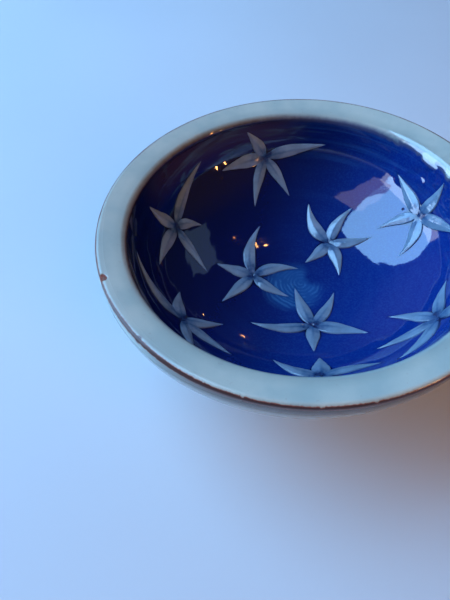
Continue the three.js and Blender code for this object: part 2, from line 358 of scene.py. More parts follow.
class Section:
    """The bowl's glazed surface in section, worked out from the frame and the sizes"""

    def __init__(self):
        size = sizes()
        well_low, well_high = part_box("well_glaze")
        foot_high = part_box("foot_ring")[1]
        self.top = cad_bounds[1][2]
        self.rim_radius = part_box("wall_glaze")[1].x
        self.well_radius = well_high.x - size.coat
        self.mouth = well_high.z
        self.foot_radius = foot_high.x
        self.foot_height = foot_high.z
        depth = self.mouth - well_low.z - size.coat
        self.well = BowlCurve(self.well_radius, self.mouth, depth, size.fullness)
        self.arris = (self.rim_radius - size.arris_round, self.top - size.arris_round)
        self.edge = (self.well_radius + size.edge_round, self.mouth)
        self.wall = self.outside()
        self.bare_turn = self.wall.turn_at_height(self.foot_height + size.foot_root + size.bare_band)

    def outside(self):
        """The outside curve, through the arris, the foot's root and a point one wall from the well"""
        size = sizes()
        root = self.arris[1] - self.foot_height - size.foot_root
        near = self.well.points(np.linspace(QUARTER / 2 - 0.01, QUARTER / 2 + 0.01, 3))
        between = near[1] - left_normals(near)[1] * size.wall
        low, high = 1.0, 8.0
        for _ in range(40):
            fullness = (low + high) / 2
            depth = root / (1 - (self.foot_radius / self.rim_radius) ** fullness) ** (1 / fullness)
            across = (between[0] / self.rim_radius) ** fullness
            down = ((self.arris[1] - between[1]) / depth) ** fullness
            if across + down > 1:
                low = fullness
            else:
                high = fullness
        return BowlCurve(self.rim_radius, self.arris[1], depth, fullness)

    def stretches(self):
        """The glazed surface from the middle of the well over the rim to the bare clay"""
        size = sizes()
        flat = QUARTER + size.rim_slope
        half_iron = size.iron_width / 2 / size.arris_round
        iron_top, iron_foot = IRON_TILT + half_iron, IRON_TILT - half_iron
        edge = corner(self.edge, size.edge_round, math.pi, flat)
        arris_top = corner(self.arris, size.arris_round, flat, iron_top)
        dense = 400
        lines = {
            "well": self.well.points(np.linspace(0, QUARTER, dense)),
            "edge": edge,
            "flat": np.array([edge[-1], arris_top[0]]),
            "arris_top": arris_top,
            "iron": corner(self.arris, size.arris_round, iron_top, iron_foot),
            "arris_foot": corner(self.arris, size.arris_round, iron_foot, 0),
            "wall": self.wall.points(np.linspace(QUARTER, self.bare_turn, dense)),
        }
        return {name: spaced(line, STRETCH_ROWS[name]) for name, line in lines.items()}


def iron_tilts(turns):
    """The line's tilt at each bearing in radians, because it was brushed by eye"""
    bearings, tilts = zip(*IRON_WANDER)
    steps = np.linspace(0, 360, 721)
    smooth = np.interp(steps, bearings, tilts)
    kernel = np.hanning(25) / np.hanning(25).sum()
    smooth = np.convolve(np.concatenate([smooth[-13:-1], smooth, smooth[1:13]]), kernel, "valid")
    return np.radians(np.interp(np.degrees(turns) % 360, steps, smooth))


# Turned meshes

def spoke_turns():
    """Turns of the points round the bowl in radians, closer together at the chip"""
    even = np.linspace(0, 2 * math.pi, sizes().around, endpoint=False)
    near_chip = CHIP_TURN + np.linspace(-1, 1, 40) * CHIP_SPREAD
    turns = np.sort(np.concatenate([even, near_chip]))
    return turns[np.diff(turns, prepend=-1) > SMALLEST_TURN]


def waves(along, parts):
    """Sines along a line or round the bowl, added up"""
    return sum(height * np.sin(count * along + start) for count, height, start in parts)


def turned_grid(section, turns):
    """Points of a section at each bearing, as rows by columns by 3"""
    r, z = section[:, :1], section[:, 1:]
    return np.stack([r * np.cos(turns), r * np.sin(turns), np.broadcast_to(z, (len(r), len(turns)))], -1)


def grid_normals(grid):
    """Unit normals of a grid of points that closes on itself round the bowl"""
    down = np.gradient(grid, axis=0)
    wide = np.concatenate([grid[:, -1:], grid, grid[:, :1]], axis=1)
    round_way = wide[:, 2:] - wide[:, :-2]
    normals = np.cross(down, round_way)
    size = np.linalg.norm(normals, axis=2, keepdims=True)
    return normals / np.maximum(size, 1e-12)


def closed_skin(name, grid, normals, marks):
    """A closed mesh through a grid's rows, whose points carry the marks

    Where the first row lies on the axis, it and the last row each become one point. Otherwise the
    last row joins the first one.
    """
    rows, columns = grid.shape[:2]
    polar = np.allclose(grid[0, :, :2], 0, atol=1e-7)
    index = np.arange(rows * columns).reshape(rows, columns)
    points = grid.reshape(-1, 3)
    directions = normals.reshape(-1, 3).copy()
    if polar:
        for end, up in ((0, 1), (-1, -1)):
            directions[index[end, 0]] = (0, 0, up)
            index[end] = index[end, 0]
    following = np.roll(index, -1, axis=1)
    faces = []
    for a in range(rows if not polar else rows - 1):
        b = (a + 1) % rows
        quads = np.stack([index[a], index[b], following[b], following[a]], -1)
        if polar and a == 0:
            quads = quads[:, :3]
        elif polar and a == rows - 2:
            quads = quads[:, [0, 1, 3]]
        faces.extend(quads.tolist())
    used = np.unique(index)
    renumber = np.zeros(rows * columns, int)
    renumber[used] = np.arange(len(used))
    mesh = bpy.data.meshes.new(name)
    mesh.from_pydata(points[used].tolist(), [], [[int(renumber[i]) for i in face] for face in faces])
    for mark, values in marks.items():
        store_mark(mesh, mark, values.reshape(-1)[used].astype(np.float32))
    mesh.shade_smooth()
    mesh.normals_split_custom_set_from_vertices(directions[used].tolist())
    return link(name, mesh)


def store_mark(mesh, name, values):
    """Gives each point of a mesh a value that a material reads"""
    mesh.attributes.new(name, "FLOAT", "POINT").data.foreach_set("value", values)


def store_vectors(mesh, name, vectors):
    """Gives each point of a mesh a vector, from all their parts in one row"""
    mesh.attributes.new(name, "FLOAT_VECTOR", "POINT").data.foreach_set("vector", vectors)


def mesh_points(mesh):
    points = np.zeros(len(mesh.vertices) * 3, np.float32)
    mesh.vertices.foreach_get("co", points)
    return points.reshape(-1, 3)


class GlazedBowl:
    """The glazed surface as one grid, so that the coats cut from it meet without a seam"""

    def __init__(self):
        self.section = Section()
        self.rows = {}
        parts = []
        for name, points in self.section.stretches().items():
            start = sum(len(part) for part in parts)
            parts.append(points[1:] if parts else points)
            self.rows[name] = (max(start - 1, 0), start + len(parts[-1]))
        self.line = np.concatenate(parts)
        self.reach = distances(self.line)
        self.reach -= self.reach[self.rows["edge"][0]]
        self.turns = spoke_turns()
        self.normals_2d = left_normals(self.line)
        self.true_normals = turned_grid(self.normals_2d, self.turns)
        grid = turned_grid(self.line, self.turns)
        self.from_line = self.brush_line(grid)
        self.bare, dent = self.chipped(grid)
        self.grid = self.hand_made(grid, dent)
        self.normals = grid_normals(self.grid)

    def brush_line(self, grid):
        """Slides the rows on the arris with the iron line, and returns how far each point is from it"""
        size = sizes()
        first, last = self.rows["arris_top"][0], self.rows["arris_foot"][1]
        flat = QUARTER + size.rim_slope
        tilts = np.arctan2(self.normals_2d[first:last, 1], self.normals_2d[first:last, 0])
        tilts[0], tilts[-1] = flat, 0
        shift = iron_tilts(self.turns) - IRON_TILT
        share = np.where(tilts > IRON_TILT, (flat - tilts) / (flat - IRON_TILT), tilts / IRON_TILT)
        half = size.iron_width / 2 / size.arris_round
        band = np.clip(share / (1 - half / IRON_TILT), 0, 1)
        turned = tilts[:, None] + band[:, None] * shift[None]
        out, up = np.cos(turned), np.sin(turned)
        cosines, sines = np.cos(self.turns), np.sin(self.turns)
        r = self.section.arris[0] + size.arris_round * out
        z = self.section.arris[1] + size.arris_round * up
        grid[first:last] = np.stack([r * cosines, r * sines, z], -1)
        self.true_normals[first:last] = np.stack([out * cosines, out * sines, up], -1)
        line_tilt = IRON_TILT + shift[None]
        at_line = self.reach[first] + (flat - line_tilt) * size.arris_round
        from_line = np.broadcast_to(self.reach[:, None] - at_line, grid.shape[:2]).copy()
        from_line[first:last] = (line_tilt - turned) * size.arris_round
        return from_line

    def chipped(self, grid):
        """Where the chip bares the clay, and how deep it is"""
        size = sizes()
        chip_row = self.rows["iron"][0]
        chip_column = np.argmin(np.abs(self.turns - CHIP_TURN))
        away = np.linalg.norm(grid - grid[chip_row, chip_column], axis=2)
        ragged_round = waves(self.turns - CHIP_TURN, CHIP_WAVES_ROUND)
        ragged_down = waves(self.reach, CHIP_WAVES_DOWN)
        share = away / (size.chip * (1 + ragged_round[None, :] + ragged_down[:, None]))
        edge_sharpness = 5
        bare = np.clip((1 - share) * edge_sharpness, 0, 1)
        return bare, size.chip_depth * np.sqrt(np.clip(1 - share**2, 0, 1))

    def throwing_rings(self):
        """The ripple that throwing left in the well and on the outside, fading out at the rim"""
        size = sizes()
        reach = self.reach[:, None]
        half_rim, fade = 5 * MM, 6 * MM
        off_rim = np.clip((np.abs(reach - half_rim) - half_rim) / fade, 0, 1)
        phase = 2 * math.pi * reach / size.throwing_pitch + waves(self.turns[None, :], RING_WAVES)
        return size.throwing * off_rim * np.sin(phase)

    def swollen_wall(self, grid):
        """How far the wall swells out, from nothing at the arris and at its lower end to most in between"""
        bearing, spread = SWELLING
        side = np.clip(1 - np.abs(np.degrees(self.turns) - bearing) / spread, 0, 1)
        side = side**2 * (3 - 2 * side)
        top, top_fade = self.section.arris[1] + 0.6 * MM, 3 * MM
        foot, foot_fade = 20 * MM, 20 * MM
        depth = np.clip((top - grid[:, :, 2]) / top_fade, 0, 1)
        fade = np.clip((grid[:, :, 2] - foot) / foot_fade, 0, 1)
        outside = self.reach[:, None] > 6 * MM
        return outside * sizes().swelling * side[None] * depth * fade

    def hand_made(self, grid, dent):
        """Moves the true surface by what the hand, the wheel and the kiln did to it"""
        size = sizes()
        roll_reach, run_reach, run_height = 1.2 * size.coat, 4 * MM, 0.7 * MM
        turns = self.turns[None, :]
        from_end = (self.reach[-1] - self.reach)[:, None]
        roll = size.coat * (1 - np.sqrt(1 - np.clip(1 - from_end / roll_reach, 0, 1) ** 2))
        proud = self.throwing_rings() - dent - roll + self.swollen_wall(grid)
        moved = grid + self.true_normals * proud[..., None]
        run = np.clip(1 - from_end / run_reach, 0, 1) ** 2
        moved[:, :, 2] += run * waves(turns, GLAZE_END_WAVES) * run_height
        wobble = size.wobble * waves(turns, WOBBLE_WAVES)
        spokes = np.stack([np.cos(self.turns), np.sin(self.turns), np.zeros(len(self.turns))], -1)
        up_share = np.clip(grid[:, :, 2] / self.section.top, 0, 1)
        return moved + spokes[None] * (wobble * up_share)[..., None]

    def coat_piece(self, name, first, last, inner_rows):
        """One coat as a closed skin, from the first stretch to the last one"""
        start, end = self.rows[first][0], self.rows[last][1]
        back = np.unique(np.linspace(end - 1, start, inner_rows).astype(int))[::-1]
        inner = self.grid[back] - self.true_normals[back] * sizes().coat
        if start == 0:
            inner[-1, :, :2] = 0
        grid = np.concatenate([self.grid[start:end], inner])
        normals = np.concatenate([self.normals[start:end], -self.true_normals[back]])
        rows = np.concatenate([np.arange(start, end), back])
        marks = {
            "reach": np.broadcast_to(self.reach[rows, None], grid.shape[:2]) / MM,
            "bare": self.bare[rows],
            "from_line": self.from_line[rows] / MM,
        }
        return closed_skin(name, grid, normals, marks)


# Node trees

class Number:
    """A number that a node gives. It adds, subtracts and multiplies as plain numbers do."""

    def __init__(self, tree, socket):
        self.tree = tree
        self.socket = socket

    def __add__(self, other):
        return self.tree.maths("ADD", self, other)

    def __sub__(self, other):
        return self.tree.maths("SUBTRACT", self, other)

    def __rsub__(self, other):
        return self.tree.maths("SUBTRACT", other, self)

    def __mul__(self, other):
        return self.tree.maths("MULTIPLY", self, other)


class Tree:
    """Adds nodes to a tree and feeds their inputs in order, from values or from other nodes' outputs"""

    def __init__(self, tree):
        self.tree = tree

    def add(self, kind, *values, **settings):
        node = self.tree.nodes.new(kind)
        for name, value in settings.items():
            setattr(node, name, value)
        for socket, value in zip([s for s in node.inputs if s.enabled], values):
            self.feed(socket, value)
        return node

    def feed(self, socket, value):
        if isinstance(value, Number):
            value = value.socket
        if isinstance(value, bpy.types.NodeSocket):
            self.tree.links.new(value, socket)
        elif value is not None:
            socket.default_value = value

    def result(self, node):
        """The node's output in use, as a number if it is one"""
        socket = next(s for s in node.outputs if s.enabled)
        return Number(self, socket) if socket.type == "VALUE" else socket

    def maths(self, operation, *values):
        return self.result(self.add("ShaderNodeMath", *values, operation=operation))

    def vector(self, operation, *values):
        return self.result(self.add("ShaderNodeVectorMath", *values, operation=operation))

    def split(self, vector):
        """The three parts of a vector"""
        return [Number(self, part) for part in self.add("ShaderNodeSeparateXYZ", vector).outputs]

    def join(self, x, y, z):
        return self.add("ShaderNodeCombineXYZ", x, y, z).outputs[0]

    def far(self, x, y):
        """How far a point is from where x and y are 0"""
        return self.maths("SQRT", x * x + y * y)

    def between(self, value, low, high, start=0.0, end=1.0):
        """Maps a value from low and high to start and end, smoothly and without passing them"""
        return self.result(
            self.add("ShaderNodeMapRange", value, low, high, start, end, interpolation_type="SMOOTHSTEP")
        )

    def mix(self, share, a, b):
        """Mixes two colours"""
        node = self.tree.nodes.new("ShaderNodeMix")
        node.data_type = "RGBA"
        self.feed(node.inputs[0], share)
        self.feed(node.inputs[6], opaque(a))
        self.feed(node.inputs[7], opaque(b))
        return node.outputs[2]

    def noise(self, place, scale, detail=3.0, roughness=0.5):
        """Smooth noise from 0 to 1"""
        node = self.tree.nodes.new("ShaderNodeTexNoise")
        values = {"Vector": place, "Scale": scale, "Detail": detail, "Roughness": roughness}
        for name, value in values.items():
            self.feed(node.inputs[name], value)
        return Number(self, node.outputs["Fac"])

    def mark(self, name):
        """A value that the mesh carries"""
        return Number(self, self.add("ShaderNodeAttribute", attribute_name=name).outputs["Fac"])


def opaque(value):
    """A colour with its alpha, or a socket as it is"""
    return value if isinstance(value, bpy.types.NodeSocket) else (*value[:3], 1)


def darker(shade, share):
    return tuple(part * share for part in shade)


class Place:
    """Where a shaded point is: millimetres, the distance from the axis and the direction from it"""

    def __init__(self, tree):
        self.tree = tree
        self.mm = tree.vector("SCALE", tree.add("ShaderNodeTexCoord").outputs["Object"], 1 / MM)
        self.x, self.y, self.z = tree.split(self.mm)
        self.out = tree.far(self.x, self.y)
        self.spoke = tree.vector("NORMALIZE", tree.join(self.x, self.y, 0.0))

    def noise(self, scale, detail=3.0, roughness=0.5):
        return self.tree.noise(self.mm, scale, detail, roughness)

    def strokes(self, around, across, offset=0.0, detail=3.0, roughness=0.5):
        """Noise that runs in strokes round the axis"""
        x, y, _ = self.tree.split(self.spoke)
        strip = self.out * across + offset - self.z * across
        return self.tree.noise(self.tree.join(x * around, y * around, strip), 1.0, detail, roughness)

    def facing(self, bearing, low, high):
        """From 0 to 1 as the direction from the axis turns to a bearing, between two cosines"""
        turn = math.radians(bearing)
        spoke = (math.cos(turn), math.sin(turn), 0.0)
        return self.tree.between(self.tree.vector("DOT_PRODUCT", self.spoke, spoke), low, high)

    def near(self, bearing, width):
        """1 at a bearing, falling to 0 at the width in degrees to each side"""
        return self.facing(bearing, math.cos(math.radians(width)), 1.0)


# Glazes, clay and slip

def cobalt_colour(tree, place):
    """Deep blue with a fine mottle, brush strokes round the bowl and a lighter swirl at the bottom, and
    painted shade that darkens the wall away from the lamp
    """
    paint = colours()
    cloud = place.noise(0.035, 2)
    # Painted shade: the blue is painted darker towards the wall away from the lamp. depth here is that
    # painted light share, and it also fades the mottle and brush strokes there
    painted_lit_side = tree.between(place.x - place.y * 0.35, -42.0, 46.0)
    depth = tree.between(painted_lit_side + cloud * 0.4, 0.2, 1.15)
    body = tree.mix(depth, paint.cobalt_dark, paint.cobalt)
    mottle = tree.between(place.noise(1.5, 3, 0.65), 0.42, 0.68)
    body = tree.mix(mottle * depth * 0.15, body, paint.cobalt_light)
    strokes = place.strokes(0.9, 0.55, 0.0, 4, 0.62) + place.strokes(2.2, 2.2, 30.0, 3, 0.6) * 0.45
    on_wall = tree.between(place.z, 22.0, 41.0, 0.12, 1.0) * tree.between(depth, 0.0, 1.0, 0.25, 1.0)
    body = tree.mix(tree.between(strokes, 0.66, 0.98) * on_wall * 0.46, body, paint.cobalt_light)
    return swirl_colour(tree, place, body, cloud)


def swirl_colour(tree, place, body, cloud):
    """The lighter swirl that the brush left: rings that fade out, and a dark tail up and to the right"""
    paint = colours()
    x, y = place.x - SWIRL[0], place.y - SWIRL[1]
    out = tree.far(x, y)
    turn = tree.maths("ARCTAN2", y, x)
    spiral = out * 4.6 + (turn + place.noise(0.16, 4) * 14.0)
    rings = tree.between(tree.maths("SINE", spiral), -0.5, 0.9)
    near_side = tree.between(tree.maths("SINE", turn), -0.2, 0.5, 1.0, 0.25)
    broken = tree.between(place.noise(0.3, 3), 0.35, 0.6) * near_side
    reach = tree.maths("COSINE", turn - 3.75) * 3.4 + 9.6
    patch = tree.between(out - reach + (cloud - 0.5) * 9.0, -4.0, 2.0, 1.0, 0.0)
    tail = tree.between(tree.maths("COSINE", turn - 0.7), 0.6, 1.0) * tree.between(out, 0.8, 4.0)
    patch = patch * (1.0 - tail)
    body = tree.mix(patch * 0.42, body, paint.cobalt_light)
    return tree.mix(rings * patch * (broken * 0.5), body, paint.swirl)


def celadon_colour(tree, place):
    """Pale glaze with soft clouds and a few iron specks"""
    paint = colours()
    body = tree.mix(tree.between(place.noise(0.09), 0.3, 0.7), paint.celadon, paint.celadon_thick_and_shade)
    grain = tree.between(place.noise(2.2, 2), 0.35, 0.65)
    speck = tree.between(place.noise(1.1, 0), 0.79, 0.82)
    body = tree.mix(grain * 0.12, body, paint.celadon_thick_and_shade)
    return tree.mix(speck * 0.12, body, paint.rust)


def iron_shares(tree, place):
    """How much iron shows, how rusty it is, how much it stains the glaze beside it, and the painted shade on
    the outer wall below it at the near side
    """
    from_line = tree.mark("from_line")
    ragged = place.noise(1.3, 4, 0.65)
    breaks = place.near(*LINE_BREAKS[0])
    for mark in LINE_BREAKS[1:]:
        breaks = tree.maths("MAXIMUM", breaks, place.near(*mark))
    half = place.noise(0.11, 2) * 0.36 + 0.36 + (ragged - 0.5) * 0.8
    half = half - place.near(*LINE_THIN) * (ragged * 0.6) + place.near(*LINE_BLOB) * 0.35
    half = half + place.near(*LINE_WIDE) * 0.22 - breaks * 0.3
    inside = half - tree.maths("ABSOLUTE", from_line)
    beside = tree.between(inside, -0.7, 0.1) * 0.3
    # Painted shade: the outer wall below the line is painted dark at the near side, fading down the wall
    below = tree.between(from_line, 1.5, 8.5, 0.96, 0.0) * tree.between(from_line, 0.0, 0.3)
    stain_and_shade = tree.maths("MAXIMUM", beside, below * place.facing(SHADED_WALL_SIDE, 0.5, 0.95))
    return tree.between(inside, -0.16, 0.12), tree.between(inside, 0.0, 0.25, 1.0, 0.0), stain_and_shade


def coat_colour(tree, place, reach):
    """Cobalt in the well, celadon from its edge on, and thin glaze where the two meet, with painted shade at
    the inner edge and painted shade and warm reflection in the well
    """
    paint = colours()
    lobes = tree.between(place.noise(0.2, 2), 0.42, 0.62, 0.0, 1.7)
    edge = reach + (place.noise(0.45, 4, 0.6) - 0.5) * 0.8 + place.near(*GLAZE_RUNS) * lobes
    # Painted shade: on the side away from the lamp, the thin band at the inner edge is painted browner and
    # wider
    shaded_edge_side = place.facing(SHADED_EDGE_SIDE, 0.1, 0.9)
    pale = celadon_colour(tree, place)
    # Painted shade: the rim is painted darker towards its inner edge, where it rounds down into the well
    pale = tree.mix(tree.between(edge, 2.2, 6.0, 0.4, 0.0), pale, darker(paint.celadon_thick_and_shade, 0.62))
    thin = tree.mix(shaded_edge_side, paint.thin_blue, paint.thin_glaze_and_shade)
    glaze = tree.mix(tree.between(edge, 0.3, shaded_edge_side + 2.2), thin, pale)
    # Painted shade: a dark band just above the blue, strongest on the shaded side and left out towards the
    # far right
    shade = (1.0 - place.facing(UNSHADED_EDGE_SIDE, 0.62, 0.9)) * tree.between(shaded_edge_side, 0.0, 1.0, 0.3, 0.95)
    glaze = tree.mix(tree.between(edge, 0.0, 1.2, 1.0, 0.0) * shade, glaze, paint.painted_edge_shade)
    by_star = tree.between(tree.mark("near_star"), 0.1, 1.0, 1.0, 0.0)
    pooled = by_star * tree.between(tree.mark("near_hub"), 3.0, 7.0, 0.95, 0.25)
    blue = tree.mix(pooled, cobalt_colour(tree, place), darker(paint.cobalt_dark, 0.6))
    # Painted shade and warm reflection: the upper well wall on one side is painted brown-mauve
    brown = tree.between(edge, -14.0, -3.0) * place.facing(WARM_REFLECTION_SIDE, 0.72, 0.96)
    blue = tree.mix(brown * 0.8, blue, paint.painted_warm_reflection)
    return tree.mix(tree.between(edge, -1.2, 0.5), blue, glaze)


def coat_height(tree, place, reach):
    """Fine unevenness of the glaze, with lumps where it ran thick"""
    thick = tree.between(reach, -15.0, -8.0) * tree.between(reach, -2.0, 1.0, 1.0, 0.0)
    lumps = place.near(*GLAZE_LUMPS) * (place.noise(0.2, 1) * 1.5)
    return place.noise(0.5, 2) * 0.01 + place.strokes(1.5, 0.9) * 0.01 + thick * lumps


def pinhole(tree, place):
    """1 inside the one pinhole in the glaze"""
    return tree.between(tree.vector("DISTANCE", place.mm, PINHOLE), 0.35, 0.55, 1.0, 0.0)


def glaze_group():
    """One node group for every coat, so that the colours run on from coat to coat"""
    group = bpy.data.node_groups.get("bowl_glazes")
    if group:
        return group
    group = bpy.data.node_groups.new("bowl_glazes", "ShaderNodeTree")
    for name, kind in (("Color", "Color"), ("Roughness", "Float"), ("Height", "Float")):
        group.interface.new_socket(name, in_out="OUTPUT", socket_type="NodeSocket" + kind)
    paint = colours()
    tree = Tree(group)
    place = Place(tree)
    reach, bare = tree.mark("reach"), tree.mark("bare")
    iron, rusty, stain_and_shade = iron_shares(tree, place)
    hole = pinhole(tree, place)
    grit = place.noise(3.5)
    # Iron staining beside the line, and painted shade on the outer wall below it
    surface = tree.mix(stain_and_shade, coat_colour(tree, place, reach), darker(paint.thin_glaze_and_shade, 0.5))
    surface = tree.mix(iron, surface, tree.mix(rusty, paint.iron, paint.rust))
    raw = tree.mix(tree.between(grit, 0.4, 0.7), paint.rust, paint.iron)
    surface = tree.mix(tree.between(bare, 0.1, 0.5), surface, raw)
    surface = tree.mix(hole, surface, paint.cobalt_dark)
    by_line = tree.between(tree.maths("ABSOLUTE", tree.mark("from_line")), 0.8, 4.5, 1.0, 0.0)
    dry = by_line * ((place.near(*DRY_GLAZE) * 0.22 + 0.14) * (1.0 - iron))
    rough = iron * 0.28 + 0.04 + bare * 0.55 + dry + hole * 0.8
    height = coat_height(tree, place, reach) + grit * bare * 0.3 - hole * 0.3
    tree.add("NodeGroupOutput", surface, rough, height)
    return group


def new_material(name):
    material = bpy.data.materials.new(name)
    material.use_nodes = True
    material.node_tree.nodes.clear()
    return material, Tree(material.node_tree)


def finish_material(tree, surface, rough, height, ior=1.7):
    bump = tree.add("ShaderNodeBump")
    bump.inputs["Strength"].default_value = 1.0
    bump.inputs["Distance"].default_value = MM
    tree.feed(bump.inputs["Height"], height)
    shader = tree.add("ShaderNodeBsdfPrincipled")
    shader.inputs["IOR"].default_value = ior
    tree.feed(shader.inputs["Base Color"], surface)
    tree.feed(shader.inputs["Roughness"], rough)
    tree.feed(shader.inputs["Normal"], bump.outputs[0])
    tree.add("ShaderNodeOutputMaterial", shader.outputs[0])


def glaze_material(name, ior=1.7):
    material, tree = new_material(name)
    group = tree.add("ShaderNodeGroup", node_tree=glaze_group()).outputs
    finish_material(tree, group["Color"], group["Roughness"], group["Height"], ior)
    return material


def clay_material():
    """Unglazed stoneware: fine grains, trimming lines and darker fired patches"""
    paint = colours()
    material, tree = new_material("bare_clay")
    place = Place(tree)
    grains = place.noise(5.0, 3, 0.7)
    body = tree.mix(tree.between(place.noise(0.08), 0.35, 0.7), paint.clay, darker(paint.clay, 0.62))
    body = tree.mix(tree.between(grains, 0.55, 0.8), body, paint.pale_grain)
    body = tree.mix(tree.between(grains, 0.2, 0.36, 0.8, 0.0), body, paint.dark_grain)
    height = grains * 0.07 + place.strokes(0.6, 2.4, 0.0, 3, 0.7) * 0.12
    finish_material(tree, body, tree.between(grains, 0.3, 0.7, 0.72, 0.9), height)
    return material


def slip_material():
    """Pale slip under clear glaze, stained with cobalt at its roots and in a thin outline"""
    paint = colours()
    material, tree = new_material("star_slip")
    place = Place(tree)
    along, lift = tree.mark("along"), tree.mark("lift")
    blotch = place.noise(0.42, 2)
    body = tree.mix(tree.between(place.noise(0.22), 0.3, 0.7), paint.slip, darker(paint.slip, 0.8))
    root = tree.between(along + blotch * 0.4, 0.22, 0.62, 1.0, 0.0)
    body = tree.mix(root * 0.85, body, darker(paint.cobalt_light, 0.5))
    dark = tree.between(along + blotch * 0.5, 0.26, 0.42, 1.0, 0.0)
    body = tree.mix(dark * 0.85, body, paint.cobalt_dark)
    from_rib = tree.maths("ABSOLUTE", tree.mark("across")) + place.noise(1.1, 2) * 0.3
    rib = tree.between(from_rib, 0.1, 0.5, 1.0, 0.0) * tree.between(along, 0.3, 0.66, 0.5, 0.0)
    body = tree.mix(rib, body, darker(paint.cobalt_light, 0.5))
    seam = tree.between(lift, 0.1, 0.5, 1.0, 0.0) * tree.between(along, 0.06, 0.3, 1.0, 0.0)
    body = tree.mix(seam * 0.9, body, paint.cobalt_dark)
    outline = tree.between(lift, 0.05, 0.22, 1.0, 0.0)
    body = tree.mix(outline * 0.7, body, darker(paint.cobalt, 0.7))
    body = tree.mix(tree.between(along, 0.9, 1.0) * 0.6, body, paint.cobalt_light)
    body = tree.mix(pinhole(tree, place), body, paint.iron)
    finish_material(tree, body, tree.between(along, 0.02, 0.2, 0.22, 0.09), place.noise(0.9) * 0.08)
    return material


def dress(piece, material, node):
    """Gives a finished piece its material in one slot and its body, and hides the frame's node that it stands
    for
    """
    piece.data.materials.clear()
    piece.data.materials.append(material)
    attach(piece, BODY)
    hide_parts(node)
    return piece


# Stars

def well_frame(section, bearing, out):
    """The hub of a star on the well, and the directions up the wall, around it and into the hollow"""
    turn = math.radians(bearing)
    at = section.well.turn_at_radius(section.well_radius * out / 100)
    near = section.well.points(np.array([at - 1e-4, at, at + 1e-4]))
    normal = left_normals(near)[1]
    spoke = Vector((math.cos(turn), math.sin(turn), 0))
    hub = spoke * near[1][0] + Vector((0, 0, near[1][1]))
    square = spoke * normal[0] + Vector((0, 0, normal[1]))
    around = Vector((-math.sin(turn), math.cos(turn), 0))
    return hub, around.cross(square), around, square


def petal_points(name, section):
    """A mesh of one point for each petal of a star, that carries its hub, directions and sizes"""
    petals = STAR_PETALS[name]
    mesh = bpy.data.meshes.new(name + "_petals")
    mesh.from_pydata([(0, 0, 0)] * len(petals), [], [])
    for key, value in zip(("hub", "uphill", "around", "square"), well_frame(section, *STAR_HUBS[name])):
        store_vectors(mesh, key, list(value) * len(petals))
    unit = section.well_radius / 100
    scales = {"direction": math.pi / 180, "reach": unit, "width": unit, "bow": unit}
    for (key, scale), column in zip(scales.items(), zip(*petals)):
        store_mark(mesh, key, [value * scale for value in column])
    return link(name + "_petals", mesh)


def star_seat(section):
    """The true surface of the well, carried straight up past its mouth, with its smooth normals"""
    line = section.well.points(np.linspace(0, QUARTER, 160))
    above = np.array([[section.well_radius, section.mouth + step * MM] for step in (3, 6, 9)])
    line = np.concatenate([line, above])
    turns = np.linspace(0, 2 * math.pi, 240, endpoint=False)
    grid = turned_grid(line, turns)
    normals = grid_normals(grid)
    normals[0] = (0, 0, 1)
    rows, columns = grid.shape[:2]
    index = np.arange(rows * columns).reshape(rows, columns)
    following = np.roll(index, -1, axis=1)
    quads = np.stack([index[:-1], index[1:], following[1:], following[:-1]], -1).reshape(-1, 4)
    mesh = bpy.data.meshes.new("star_seat")
    mesh.from_pydata(grid.reshape(-1, 3).tolist(), [], quads.tolist())
    store_vectors(mesh, "seat_normal", normals.reshape(-1).astype(np.float32))
    return link("star_seat", mesh)


PETAL_INPUTS = {
    "Seat": "NodeSocketObject",
    "Rise": "NodeSocketFloat",
    "Edge": "NodeSocketFloat",
    "Sink": "NodeSocketFloat",
    "Steps along": "NodeSocketInt",
    "Steps around": "NodeSocketInt",
    "Material": "NodeSocketMaterial",
}


